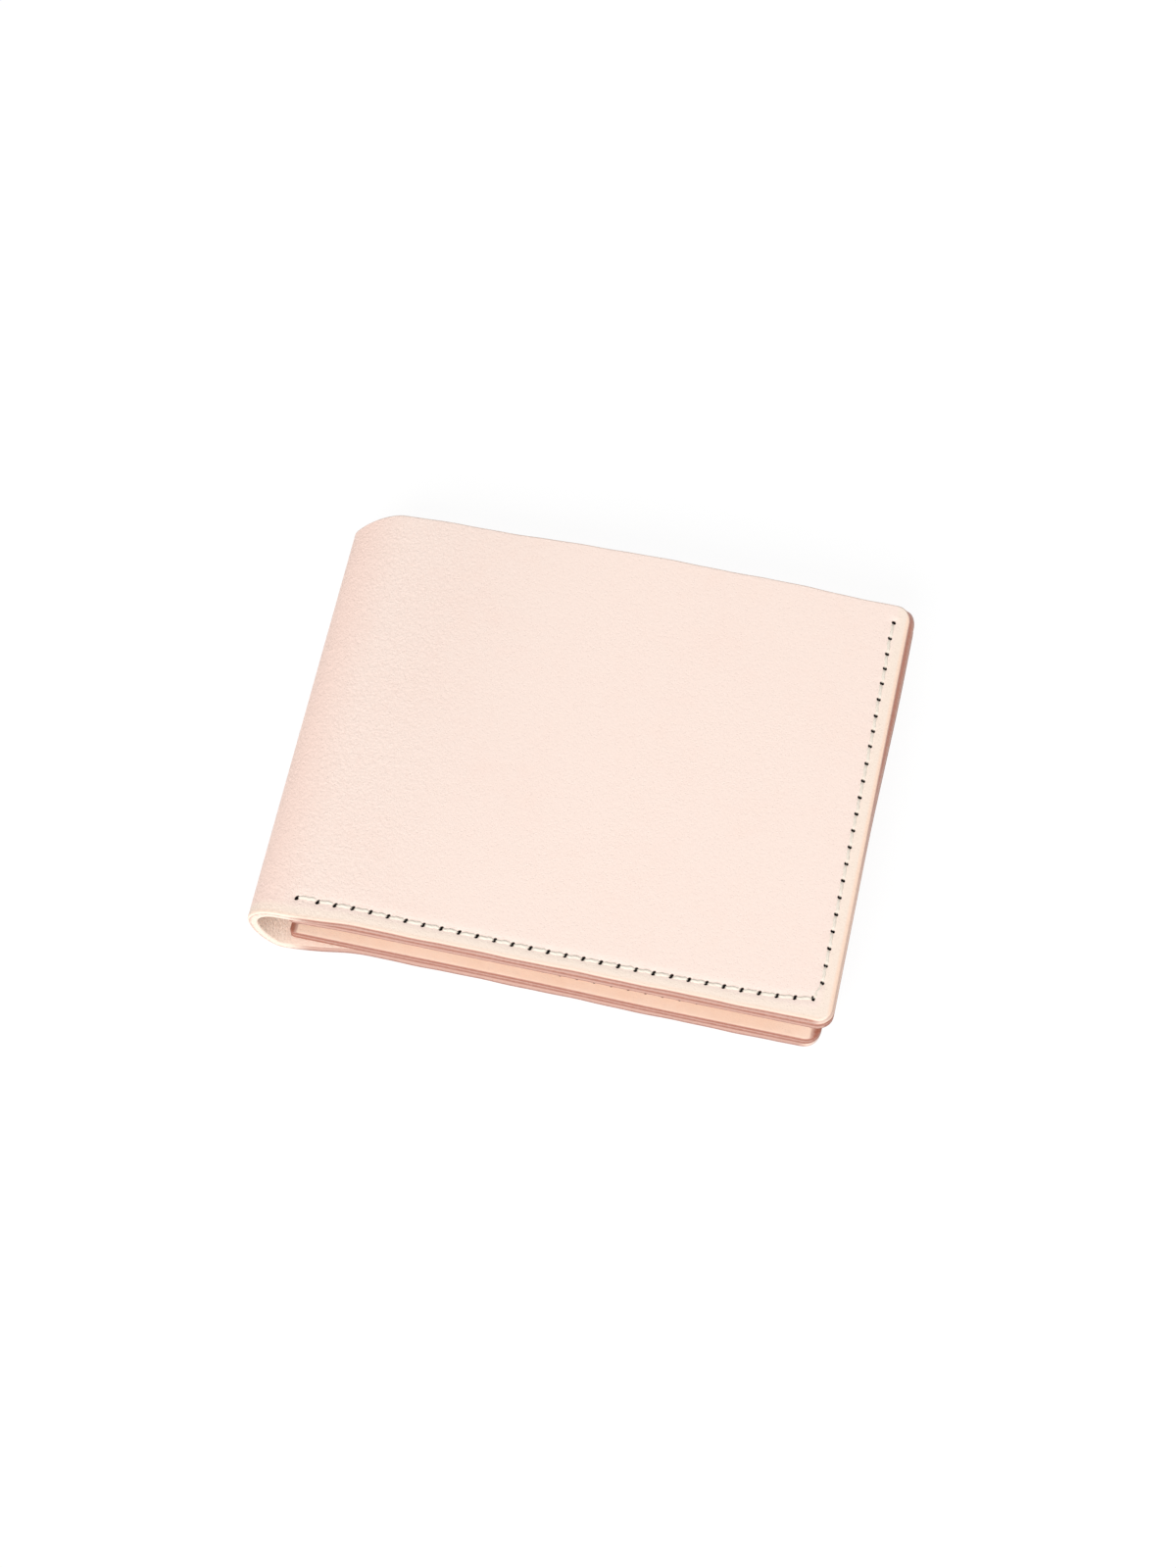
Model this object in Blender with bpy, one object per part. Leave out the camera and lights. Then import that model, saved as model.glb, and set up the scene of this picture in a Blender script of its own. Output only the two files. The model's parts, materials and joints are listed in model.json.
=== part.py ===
"""Bifold leather wallet, closed and lying on its back leaf.

+X runs from the fold to the free edge, +Y from the sewn near edge to the open note mouth, +Z up.
Each leaf is built in its own terms: u is the distance from the outside of the fold, h the height
above the near edge, and d the depth from the outer face of the cover towards the middle.
"""

import math

import bmesh
import bpy
from mathutils import Vector

MM = 0.001

# Overall size of the closed wallet. The back leaf is cut a little shorter than the front one.
FRONT_WIDTH = 112.0 * MM
BACK_WIDTH = 110.4 * MM
HEIGHT = 88.0 * MM
THICKNESS = 14.0 * MM
CORNER_RADIUS = 3.2 * MM
CORNER_STEPS = 4

# Leather weights, and the play left between two layers.
COVER_LEATHER = 2.0 * MM
DIVIDER_LEATHER = 0.9 * MM
T_LEATHER = 0.7 * MM
POCKET_LEATHER = 0.9 * MM
PLAY = 0.3 * MM

# The fold of the cover is a half round that opens flat. It bends at three hinge lines, between the two
# leaves and two strips with STRIP_GAP between them. HINGE_RADIUS is how far each line lies from the
# middle of the fold, a little outside of the leather, so that the open fold keeps its full length.
FOLD_RADIUS = THICKNESS / 2
FOLD_BENDS = 3
BEND = math.pi / FOLD_BENDS
HINGE_RADIUS = FOLD_RADIUS * (BEND / 2) / math.sin(BEND / 2)
STRIP_STEPS = 5
STRIP_GAP = 0.42 * MM

# Inner panels: where they start beside the fold, how high each one reaches, and the sewn margin
# from which a pocket slopes up over the pockets behind it.
PANEL_START = 7.8 * MM
DIVIDER_TOP = 86.5 * MM
UPPER_T_TOP = 79.0 * MM
LOWER_T_TOP = 67.0 * MM
POCKET_TOP = 55.0 * MM
T_LENGTH = 50.0 * MM
MARGIN = 5.0 * MM
SLOPE = 4.0 * MM

# Depths of the layers, from the outer face of the cover inwards.
DIVIDER_DEPTH = COVER_LEATHER + PLAY
FIRST_LAYER = DIVIDER_DEPTH + DIVIDER_LEATHER + PLAY
SECOND_LAYER = FIRST_LAYER + T_LEATHER + PLAY
THIRD_LAYER = SECOND_LAYER + T_LEATHER + PLAY

# Sewing: an outer and an inner rail of thread, joined through square awl holes. The rails lie sunk
# in grooves, shallow ones on the thin leather.
THREAD_WIDTH = 0.5 * MM
AWL_HOLE = 0.9 * MM
GROOVE_WIDTH = 1.1 * MM
GROOVE_DEPTH = 0.65 * MM
RAIL = 0.42 * MM
RAIL_SINK = 0.08 * MM
THIN_GROOVE = 0.42 * MM
THIN_RAIL = 0.3 * MM
SEAM_FACE = FIRST_LAYER + POCKET_LEATHER + PLAY / 2

# The edge seam: along the near edge, round the corner with a small lift, and up the free edge.
SEAM_INSET = 3.1 * MM
NEAR_START = 9.8 * MM
NEAR_HOLES = 30
NEAR_END_GAP = 0.6 * MM
CORNER_LIFT = 0.8 * MM
CORNER_LIFT_RUN = 10.0 * MM
SIDE_START = 7.7 * MM
SIDE_HOLES = 23
SIDE_PITCH = 3.5 * MM

# The seam beside the fold, and the seams along the feet of the T-shaped pockets.
FOLD_SIDE_START = 8.6 * MM
FOLD_SIDE_HOLES = 21
FOLD_SIDE_PITCH = 3.4 * MM
FOOT_INSET = 2.2 * MM
FOOT_END_GAP = 4.4 * MM
FOOT_HOLES = 9

# Colour and roughness of each material.
NATURAL_LEATHER = ((0.93, 0.77, 0.68, 1.0), 0.55)
INNER_LEATHER = ((0.90, 0.72, 0.62, 1.0), 0.6)
LINEN_THREAD = ((0.93, 0.89, 0.80, 1.0), 0.7)


class Leaf:
    """One half of the wallet: its name and width, which way is inwards along Z, and its hinge empty.

    A strip of the fold is drawn in the back leaf's terms, from the hinge line that it turns about.
    """

    def __init__(self, name, width, inward, parent, hinge=0):
        self.name = name
        self.width = width
        self.inward = inward
        self.parent = parent
        self.hinge = hinge

    def point(self, u, h, d):
        """A point of this leaf in the frame of its own hinge line."""
        hinge_u, hinge_d = hinge_line(self.hinge)
        return Vector((u - hinge_u, h - HEIGHT / 2, self.inward * (d - hinge_d)))

    def bent_point(self, s, h, d):
        """A point of the cover, which is bent round the fold where s is short of the flat leaf."""
        angle = max(FOLD_RADIUS - s, 0) / FOLD_RADIUS
        reach = FOLD_RADIUS - d
        u = max(s, FOLD_RADIUS) - reach * math.sin(angle)
        return self.point(u, h, FOLD_RADIUS - reach * math.cos(angle))

    def t_body(self):
        """The two sides of a T-shaped pocket's body, just inside the slopes of the pocket over it."""
        rise = MARGIN + SLOPE + PLAY
        return PANEL_START + rise, self.width - rise

    def pocket_lines(self):
        """The lines in u at which a pocket leaves its sewn margins and reaches its full rise."""
        start, end = PANEL_START, self.width
        return [start, start + MARGIN, start + MARGIN + SLOPE, end - MARGIN - SLOPE, end - MARGIN, end]


def hinge_line(number):
    """Where a hinge line of the fold lies, as (u, d) of the back leaf."""
    angle = (number + 0.5) * BEND
    return FOLD_RADIUS - HINGE_RADIUS * math.sin(angle), FOLD_RADIUS - HINGE_RADIUS * math.cos(angle)


def clear_scene():
    for item in list(bpy.data.objects):
        bpy.data.objects.remove(item, do_unlink=True)


def plain_material(name, look):
    colour, roughness = look
    material = bpy.data.materials.new(name)
    material.use_nodes = True
    material.diffuse_color = colour
    shader = material.node_tree.nodes["Principled BSDF"]
    shader.inputs["Base Color"].default_value = colour
    shader.inputs["Roughness"].default_value = roughness
    shader.inputs["Metallic"].default_value = 0.0
    return material


def hinge_empty(name, location, parent=None):
    """An empty on a hinge line, for the pieces that turn about it."""
    empty = bpy.data.objects.new(name, None)
    empty.empty_display_size = FOLD_RADIUS
    empty.location = location
    empty.parent = parent
    bpy.context.scene.collection.objects.link(empty)
    return empty


def new_object(name, shape, parent):
    """Turns a bmesh into a named object on its parent, with its faces pointing out."""
    bmesh.ops.recalc_face_normals(shape, faces=shape.faces[:])
    if shape.calc_volume(signed=True) < 0:
        bmesh.ops.reverse_faces(shape, faces=shape.faces[:])
    mesh = bpy.data.meshes.new(name)
    shape.to_mesh(mesh)
    shape.free()
    item = bpy.data.objects.new(name, mesh)
    item.parent = parent
    bpy.context.scene.collection.objects.link(item)
    return item


def new_piece(name, shape, parent, material):
    piece = new_object(name, shape, parent)
    piece.data.materials.append(material)
    return piece


def new_cutter(name, shape, parent):
    cutter = new_object(name, shape, parent)
    cutter.hide_render = True
    cutter.display_type = "WIRE"
    return cutter


def cut(piece, *cutters):
    for cutter in cutters:
        boolean = piece.modifiers.new(cutter.name, "BOOLEAN")
        boolean.operation = "DIFFERENCE"
        boolean.solver = "EXACT"
        boolean.object = cutter


def sheet(place, us, hs, thickness, depth_at, keep=None, round_corners=()):
    """A piece of leather over the cells of a grid in u and h.

    place turns (u, h, depth) into a point, depth_at gives the depth of the outer face at a grid point,
    keep says which cells the piece has, and round_corners lists the grid points whose corners are rounded.
    """
    shape = bmesh.new()
    outer = {}
    inner = {}
    cells = {(i, j) for i in range(len(us) - 1) for j in range(len(hs) - 1)}
    if keep:
        cells = {cell for cell in cells if keep(*cell)}
    for i, j in sorted(cells):
        ring = [(i, j), (i + 1, j), (i + 1, j + 1), (i, j + 1)]
        for at in ring:
            if at not in outer:
                u, h, depth = us[at[0]], hs[at[1]], depth_at(*at)
                outer[at] = shape.verts.new(place(u, h, depth))
                inner[at] = shape.verts.new(place(u, h, depth + thickness))
        shape.faces.new([outer[at] for at in ring])
        shape.faces.new([inner[at] for at in reversed(ring)])
        neighbours = [(i, j - 1), (i + 1, j), (i, j + 1), (i - 1, j)]
        for side, neighbour in enumerate(neighbours):
            if neighbour not in cells:
                a, b = ring[side], ring[(side + 1) % 4]
                shape.faces.new([outer[b], outer[a], inner[a], inner[b]])
    if round_corners:
        bmesh.ops.bevel(
            shape,
            geom=[shape.edges.get((outer[at], inner[at])) for at in round_corners],
            offset=CORNER_RADIUS,
            segments=CORNER_STEPS,
            profile=0.5,
            affect="EDGES",
        )
    return shape


def edge_seam(leaf):
    """The holes of the near edge and then of the free edge, as (u, h)."""
    side_u = leaf.width - SEAM_INSET
    near_end = side_u - NEAR_END_GAP
    pitch = (near_end - NEAR_START) / (NEAR_HOLES - 1)
    holes = []
    for number in range(NEAR_HOLES):
        u = NEAR_START + pitch * number
        towards_corner = max(0.0, 1 - (near_end - u) / CORNER_LIFT_RUN)
        holes.append((u, SEAM_INSET + CORNER_LIFT * towards_corner**2))
    holes += [(side_u, SIDE_START + SIDE_PITCH * number) for number in range(SIDE_HOLES)]
    return holes


def fold_side_seam():
    """The holes beside the fold, through the inner panels only."""
    return [(NEAR_START, FOLD_SIDE_START + FOLD_SIDE_PITCH * number) for number in range(FOLD_SIDE_HOLES)]


def foot_seam(leaf, t_top):
    """The holes along the foot of a T-shaped pocket."""
    body_start, body_end = leaf.t_body()
    first = body_start + FOOT_END_GAP
    pitch = (body_end - FOOT_END_GAP - first) / (FOOT_HOLES - 1)
    h = t_top - T_LENGTH + FOOT_INSET
    return [(first + pitch * number, h) for number in range(FOOT_HOLES)]


def seam_frame(holes, index):
    """A hole's place, and the unit vectors along and across the seam there."""
    before = Vector(holes[max(index - 1, 0)])
    after = Vector(holes[min(index + 1, len(holes) - 1)])
    along = (after - before).normalized()
    return Vector(holes[index]), along, Vector((-along.y, along.x))


def bar(shape, rings):
    """A closed bar through a row of four-point rings."""
    shape.faces.new(rings[0])
    shape.faces.new(rings[-1][::-1])
    for first, second in zip(rings, rings[1:]):
        for side in range(4):
            following = (side + 1) % 4
            shape.faces.new([first[following], first[side], second[side], second[following]])


def awl(leaf, name, holes):
    """The cutter of a seam's holes, through the whole stack of a leaf."""
    shape = bmesh.new()
    half = AWL_HOLE / 2
    for index in range(len(holes)):
        at, along, across = seam_frame(holes, index)
        square = [at - along * half, at + along * half]
        square = [spot - across * half for spot in square] + [spot + across * half for spot in square[::-1]]
        rings = []
        for depth in (-PLAY, THICKNESS / 2):
            rings.append([shape.verts.new(leaf.point(spot.x, spot.y, depth)) for spot in square])
        bar(shape, rings)
    return new_cutter(f"{leaf.name}_{name}_awl", shape, leaf.parent)


def groover(leaf, name, holes, low, high):
    """The cutter of the groove that a rail of thread lies in, between two depths."""
    shape = bmesh.new()
    half = GROOVE_WIDTH / 2
    rings = []
    for index in range(len(holes)):
        at, along, across = seam_frame(holes, index)
        if index == 0:
            at -= along * half
        if index == len(holes) - 1:
            at += along * half
        left, right = at - across * half, at + across * half
        rim = [(left, low), (right, low), (right, high), (left, high)]
        rings.append([shape.verts.new(leaf.point(spot.x, spot.y, depth)) for spot, depth in rim])
    bar(shape, rings)
    return new_cutter(f"{leaf.name}_{name}_groover", shape, leaf.parent)


def wall(shape, first, second, levels):
    """Faces between two upright rows of points, at the given levels of their depths."""
    for level in levels:
        shape.faces.new([first[level], second[level], second[level + 1], first[level + 1]])


def thread(leaf, holes, rails_at):
    """A saddle-stitched thread: an outer and an inner rail, joined by a post through every hole.

    rails_at gives the four depths of the rails at a hole, from the outer face inwards.
    """
    shape = bmesh.new()
    half = THREAD_WIDTH / 2
    outer_rail, post, inner_rail = 0, 1, 2
    left = right = None
    for index, hole in enumerate(holes):
        at, along, across = seam_frame(holes, index)
        posts = []
        for spot in (at - along * half, at + along * half):
            for side in (spot - across * half, spot + across * half):
                posts.append([shape.verts.new(leaf.point(side.x, side.y, depth)) for depth in rails_at(hole)])
        start_left, start_right, end_left, end_right = posts
        if index == 0:
            wall(shape, start_left, start_right, (outer_rail, post, inner_rail))
        else:
            wall(shape, left, right, (post,))
            wall(shape, start_left, start_right, (post,))
            wall(shape, left, start_left, (outer_rail, inner_rail))
            wall(shape, right, start_right, (outer_rail, inner_rail))
            for level in range(4):
                shape.faces.new([left[level], start_left[level], start_right[level], right[level]])
        wall(shape, start_left, end_left, (outer_rail, post, inner_rail))
        wall(shape, start_right, end_right, (outer_rail, post, inner_rail))
        for level in (0, 3):
            shape.faces.new([start_left[level], end_left[level], end_right[level], start_right[level]])
        left, right = end_left, end_right
    wall(shape, left, right, (outer_rail, post, inner_rail))
    return shape


def build_cover_leaf(leaf, material, edge_holes, edge_awl):
    """One leaf of the cover, bent a little into the fold and then flat, grooved for the edge seam."""
    bend_end = FOLD_RADIUS * (1 - BEND / 2) + STRIP_GAP / 2
    us = [bend_end, (bend_end + FOLD_RADIUS) / 2, FOLD_RADIUS, leaf.width]
    corners = [(3, 0), (3, 1)]
    shape = sheet(leaf.bent_point, us, [0, HEIGHT], COVER_LEATHER, lambda i, j: 0, round_corners=corners)
    cover = new_piece(f"cover_{leaf.name}", shape, leaf.parent, material)
    cut(cover, groover(leaf, "edge", edge_holes, -PLAY, GROOVE_DEPTH), edge_awl)


def build_divider(leaf, material, inner_seams, awls):
    """The wall between the note compartment and the cards, grooved behind for the inner seams."""
    us = [PANEL_START, leaf.width]
    corners = [(1, 0), (1, 1)]
    hs = [0, DIVIDER_TOP]
    shape = sheet(leaf.point, us, hs, DIVIDER_LEATHER, lambda i, j: DIVIDER_DEPTH, round_corners=corners)
    divider = new_piece(f"{leaf.name}_divider", shape, leaf.parent, material)
    for name, holes in inner_seams.items():
        low, high = DIVIDER_DEPTH - PLAY, DIVIDER_DEPTH + THIN_GROOVE
        cut(divider, groover(leaf, f"{name}_behind", holes, low, high))
    cut(divider, *awls)


def build_upper_t_pocket(leaf, material, foot_holes, awls):
    """The rear T-shaped pocket, flat on the divider, with wings that reach both sides."""
    us = [PANEL_START, *leaf.t_body(), leaf.width]
    hs = [UPPER_T_TOP - T_LENGTH, LOWER_T_TOP + PLAY, UPPER_T_TOP]
    shape = sheet(leaf.point, us, hs, T_LEATHER, lambda i, j: FIRST_LAYER, keep=lambda i, j: j == 1 or i == 1)
    pocket = new_piece(f"{leaf.name}_upper_t_pocket", shape, leaf.parent, material)
    face = FIRST_LAYER + T_LEATHER
    cut(pocket, groover(leaf, "upper_t_foot_face", foot_holes, face - THIN_GROOVE, face + PLAY), *awls)


def build_lower_t_pocket(leaf, material, foot_holes, awls):
    """The middle T-shaped pocket, which lies over the rear one and comes down at its wings."""
    hs = [LOWER_T_TOP - T_LENGTH, POCKET_TOP + PLAY, LOWER_T_TOP]

    def depth_at(i, j):
        return SECOND_LAYER if i in (2, 3) else FIRST_LAYER

    lines = leaf.pocket_lines()
    shape = sheet(leaf.point, lines, hs, T_LEATHER, depth_at, keep=lambda i, j: j == 1 or i == 2)
    pocket = new_piece(f"{leaf.name}_lower_t_pocket", shape, leaf.parent, material)
    face = SECOND_LAYER + T_LEATHER
    cut(pocket, groover(leaf, "lower_t_foot_face", foot_holes, face - THIN_GROOVE, face + PLAY), *awls)


def build_card_pocket(leaf, material, awls):
    """The front card pocket, sewn down on three sides and raised over the T-shaped pockets."""
    hs = [0, MARGIN, MARGIN + SLOPE, POCKET_TOP]

    def depth_at(i, j):
        return THIRD_LAYER if i in (2, 3) and j >= 2 else FIRST_LAYER

    shape = sheet(leaf.point, leaf.pocket_lines(), hs, POCKET_LEATHER, depth_at, round_corners=[(5, 0)])
    pocket = new_piece(f"{leaf.name}_card_pocket", shape, leaf.parent, material)
    cut(pocket, *awls)


def build_threads(leaf, material, edge_holes, inner_seams):
    """The four threads of a leaf, each with its rails at the faces that it holds together."""
    behind = (DIVIDER_DEPTH + RAIL_SINK, DIVIDER_DEPTH + RAIL_SINK + THIN_RAIL)

    def edge_rails(hole):
        inner = SEAM_FACE if hole[1] < DIVIDER_TOP - MARGIN else FIRST_LAYER
        return RAIL_SINK, RAIL_SINK + RAIL, inner, inner + RAIL

    def foot_rails(face):
        return lambda hole: (*behind, face - RAIL_SINK - THIN_RAIL, face - RAIL_SINK)

    rails = {
        "fold_side": lambda hole: (*behind, SEAM_FACE, SEAM_FACE + RAIL),
        "upper_t_foot": foot_rails(FIRST_LAYER + T_LEATHER),
        "lower_t_foot": foot_rails(SECOND_LAYER + T_LEATHER),
    }
    new_piece(f"{leaf.name}_edge_thread", thread(leaf, edge_holes, edge_rails), leaf.parent, material)
    for name, holes in inner_seams.items():
        new_piece(f"{leaf.name}_{name}_thread", thread(leaf, holes, rails[name]), leaf.parent, material)


def build_leaf(leaf, natural, inner, linen):
    """All the pieces of one leaf, from its cover inwards."""
    edge_holes = edge_seam(leaf)
    inner_seams = {
        "fold_side": fold_side_seam(),
        "upper_t_foot": foot_seam(leaf, UPPER_T_TOP),
        "lower_t_foot": foot_seam(leaf, LOWER_T_TOP),
    }
    edge_awl = awl(leaf, "edge", edge_holes)
    fold_awl, upper_awl, lower_awl = (awl(leaf, name, holes) for name, holes in inner_seams.items())
    build_cover_leaf(leaf, natural, edge_holes, edge_awl)
    build_divider(leaf, inner, inner_seams, [edge_awl, fold_awl, upper_awl, lower_awl])
    build_upper_t_pocket(leaf, inner, inner_seams["upper_t_foot"], [edge_awl, fold_awl, upper_awl])
    build_lower_t_pocket(leaf, inner, inner_seams["lower_t_foot"], [edge_awl, fold_awl, lower_awl])
    build_card_pocket(leaf, inner, [edge_awl, fold_awl])
    build_threads(leaf, linen, edge_holes, inner_seams)


def build_fold_strip(name, number, parent, material):
    """A strip of the fold, between the hinge line with this number and the next one."""
    strip = Leaf(name, BACK_WIDTH, 1, parent, hinge=number)
    start = FOLD_RADIUS * (1 - (number + 1.5) * BEND) + STRIP_GAP / 2
    end = FOLD_RADIUS * (1 - (number + 0.5) * BEND) - STRIP_GAP / 2
    lines = [start + (end - start) * step / STRIP_STEPS for step in range(STRIP_STEPS + 1)]
    shape = sheet(strip.bent_point, lines, [0, HEIGHT], COVER_LEATHER, lambda i, j: 0)
    new_piece(f"cover_{name}", shape, parent, material)


clear_scene()
natural_leather = plain_material("natural_leather", NATURAL_LEATHER)
inner_leather = plain_material("inner_leather", INNER_LEATHER)
linen_thread = plain_material("linen_thread", LINEN_THREAD)

hinges = []
last_line = Vector((0, 0, 0))
for number, name in enumerate(("fold_lower", "fold_middle", "fold_upper")):
    hinge_u, hinge_d = hinge_line(number)
    line = Vector((hinge_u - FRONT_WIDTH / 2, 0, hinge_d))
    hinges.append(hinge_empty(f"{name}_hinge", line - last_line, hinges[-1] if hinges else None))
    last_line = line
back_frame = hinge_empty("back_leaf_frame", hinges[0].location)

build_leaf(Leaf("back", BACK_WIDTH, 1, back_frame), natural_leather, inner_leather, linen_thread)
for number, name in enumerate(("fold_lower", "fold_upper")):
    build_fold_strip(name, number, hinges[number], natural_leather)
build_leaf(Leaf("front", FRONT_WIDTH, -1, hinges[-1]), natural_leather, inner_leather, linen_thread)
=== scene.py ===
import json
import math

import bmesh
import bpy
import numpy as np
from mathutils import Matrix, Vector

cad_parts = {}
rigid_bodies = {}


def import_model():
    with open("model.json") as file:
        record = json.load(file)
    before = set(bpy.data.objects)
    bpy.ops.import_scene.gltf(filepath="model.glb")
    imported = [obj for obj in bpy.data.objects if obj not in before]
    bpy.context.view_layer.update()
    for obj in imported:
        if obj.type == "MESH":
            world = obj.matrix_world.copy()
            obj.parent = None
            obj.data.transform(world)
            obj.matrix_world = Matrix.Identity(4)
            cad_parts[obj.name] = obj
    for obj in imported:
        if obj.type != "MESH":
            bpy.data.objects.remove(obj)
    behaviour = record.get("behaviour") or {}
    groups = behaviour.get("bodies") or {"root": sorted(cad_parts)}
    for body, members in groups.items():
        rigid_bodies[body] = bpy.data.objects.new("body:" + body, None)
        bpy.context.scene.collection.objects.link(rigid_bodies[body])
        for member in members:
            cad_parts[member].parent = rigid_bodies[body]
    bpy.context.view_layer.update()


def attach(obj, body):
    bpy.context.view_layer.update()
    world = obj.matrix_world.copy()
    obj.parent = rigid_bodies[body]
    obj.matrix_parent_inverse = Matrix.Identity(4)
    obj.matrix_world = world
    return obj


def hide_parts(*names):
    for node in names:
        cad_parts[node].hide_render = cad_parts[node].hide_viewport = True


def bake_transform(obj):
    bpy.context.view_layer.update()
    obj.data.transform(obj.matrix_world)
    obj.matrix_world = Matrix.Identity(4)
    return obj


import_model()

# The view of the photograph: the closed wallet from above, a little to the right of its near edge.
# The two rows of stitch holes and the straight edges of the front leaf fix its place and its lens.
VIEW_AZIMUTH = math.radians(12.36)
VIEW_ELEVATION = math.radians(66.32)
VIEW_TARGET = Vector((0.00106, -0.00326, 0.007))
VIEW_DISTANCE = 0.617
FILM_HEIGHT = 36.0
LENS = 73.28

level = math.cos(VIEW_ELEVATION)
towards_camera = Vector(
    (math.sin(VIEW_AZIMUTH) * level, -math.cos(VIEW_AZIMUTH) * level, math.sin(VIEW_ELEVATION))
)
camera = bpy.data.objects.new("photo_camera", bpy.data.cameras.new("photo_camera"))
camera.data.sensor_fit = "VERTICAL"
camera.data.sensor_height = FILM_HEIGHT
camera.data.lens = LENS
camera.location = VIEW_TARGET + towards_camera * VIEW_DISTANCE
camera.rotation_euler = (-towards_camera).to_track_quat("-Z", "Y").to_euler()
bpy.context.scene.collection.objects.link(camera)
bpy.context.scene.camera = camera

# The cover is one sheet of undyed vegetable-tanned leather, cut flat, punched along its sewn edges
# and folded once round. It is made here in the same order, as two leaves and the strip of the fold
# between them.
MM = 0.001
FRONT_WIDTH = 112.0
BACK_WIDTH = 110.4
HEIGHT = 88.0
THICKNESS = 14.0
FOLD_RADIUS = THICKNESS / 2
FOLD_ARC = FOLD_RADIUS * math.pi / 2
STRIP = FOLD_ARC / 3
COVER_LEATHER = 2.0
COVER_EDGE = 0.38
CORNER = 3.2

# How a leaf lies after use, in millimetres. A pair says where a change starts and where it ends.
SLOPE_AT_NEAR_EDGE = (6, 22)
SLOPE_AT_MOUTH = (18, 62)
SLOPE_POWER = 1.5
LEAN_GROWS = (36, 74)
LEAN_WIDTH = 2.4
GRAIN_SKIN = 0.2
SPREAD_GROWS = (50, 85)
PANEL_SPREAD = 0.8
PANEL_SPREAD_RUN = 9
COVER_SPREAD = 0.5
FLARE_RUN = 14.0
FLARE_AT_FOLD = 0.8
FLARE_ENDS = (6, 24)
MOUTH_DIP = 4.2
MOUTH_DIP_ENDS = (-1.5, 9.5)
MOUTH_SWELL = 0.5
MOUTH_SWELL_STARTS = (6, 18)
MOUTH_SWELL_ENDS = (90, 104)
# The knife wandered in two slow waves, each with its size, its pace and its start.
KNIFE_WAVES = ((0.055, 0.3, 1.3), (0.025, 0.71, 0.4))

# The seam along the near edge and up the free edge. Its rows were pricked by hand: for places along
# a row, the lists say how far the holes there are off an even, straight row.
SEAM_INSET = 3.1
NEAR_START = 9.8
NEAR_HOLES = 30
NEAR_END_GAP = 0.6
CORNER_LIFT = 0.8
CORNER_LIFT_RUN = 10.0
SIDE_START = 7.7
SIDE_HOLES = 23
SIDE_PITCH = 3.5
NEAR_ROW_LIFT = ([9.8, 16, 24, 35, 60, 85, 108], [0.9, 0.55, 0.3, 0, -0.3, -0.1, 0.4])
NEAR_ROW_SHIFT = ([9.8, 13, 20, 55, 80, 108], [-0.7, 0, 0, 0.4, 0.1, -0.5])
SIDE_ROW_SHIFT = ([50, 57, 63, 70, 74, 78, 85], [0, 0.5, 0, 0.15, -0.1, -0.5, -0.55])
SIDE_ROW_STRAY = ([60, 67, 74, 80, 85], [0, -0.15, -0.15, -0.4, -0.2])


def ease(value, start, end):
    """A smooth step from 0 at start to 1 at end."""
    share = np.clip((np.asarray(value, float) - start) / (end - start), 0, 1)
    return share * share * (3 - 2 * share)


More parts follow.
